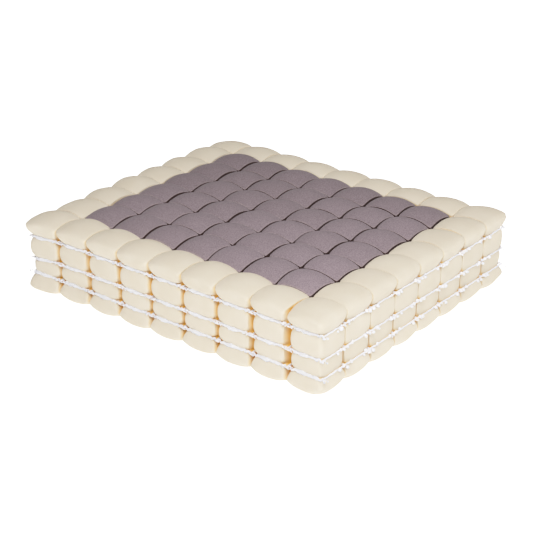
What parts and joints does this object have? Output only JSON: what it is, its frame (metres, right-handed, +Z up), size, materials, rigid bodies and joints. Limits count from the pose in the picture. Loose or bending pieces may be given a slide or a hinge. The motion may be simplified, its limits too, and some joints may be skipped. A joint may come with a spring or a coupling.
{
  "type": "pressure relief cushion",
  "caption": "Seat cushion of upright foam blocks held in knotted cord nets that draw each block in to waists, with a grey core inside a cream ring.",
  "frame": {"origin": "middle of the underside, where the cushion rests", "axes": "+X across the wide side, -Y towards the front, +Z up through the thickness"},
  "size_m": [0.4488, 0.3828, 0.1042],
  "materials": {
    "cream_foam": "soft open-cell foam, matt",
    "grey_foam": "soft open-cell foam, matt, finely speckled",
    "white_yarn": "soft twisted yarn, matt"
  },
  "bodies": {
    "root": {"cream_block_1_1": "cream_foam", "cream_block_2_1": "cream_foam", "cream_block_3_1": "cream_foam", "cream_block_4_1": "cream_foam", "cream_block_5_1": "cream_foam", "cream_block_6_1": "cream_foam", "cream_block_7_1": "cream_foam", "cream_block_8_1": "cream_foam", "cream_block_9_1": "cream_foam", "cream_block_1_2": "cream_foam", "cream_block_9_2": "cream_foam", "cream_block_1_3": "cream_foam", "cream_block_9_3": "cream_foam", "cream_block_1_4": "cream_foam", "cream_block_9_4": "cream_foam", "cream_block_1_5": "cream_foam", "cream_block_9_5": "cream_foam", "cream_block_1_6": "cream_foam", "cream_block_9_6": "cream_foam", "cream_block_1_7": "cream_foam", "cream_block_9_7": "cream_foam", "cream_block_1_8": "cream_foam", "cream_block_2_8": "cream_foam", "cream_block_3_8": "cream_foam", "cream_block_4_8": "cream_foam", "cream_block_5_8": "cream_foam", "cream_block_6_8": "cream_foam", "cream_block_7_8": "cream_foam", "cream_block_8_8": "cream_foam", "cream_block_9_8": "cream_foam", "grey_row_2": "grey_foam", "grey_row_3": "grey_foam", "grey_row_4": "grey_foam", "grey_row_5": "grey_foam", "grey_row_6": "grey_foam", "grey_row_7": "grey_foam", "net_low": "white_yarn", "net_middle": "white_yarn", "net_high": "white_yarn"}
  },
  "joints": []
}
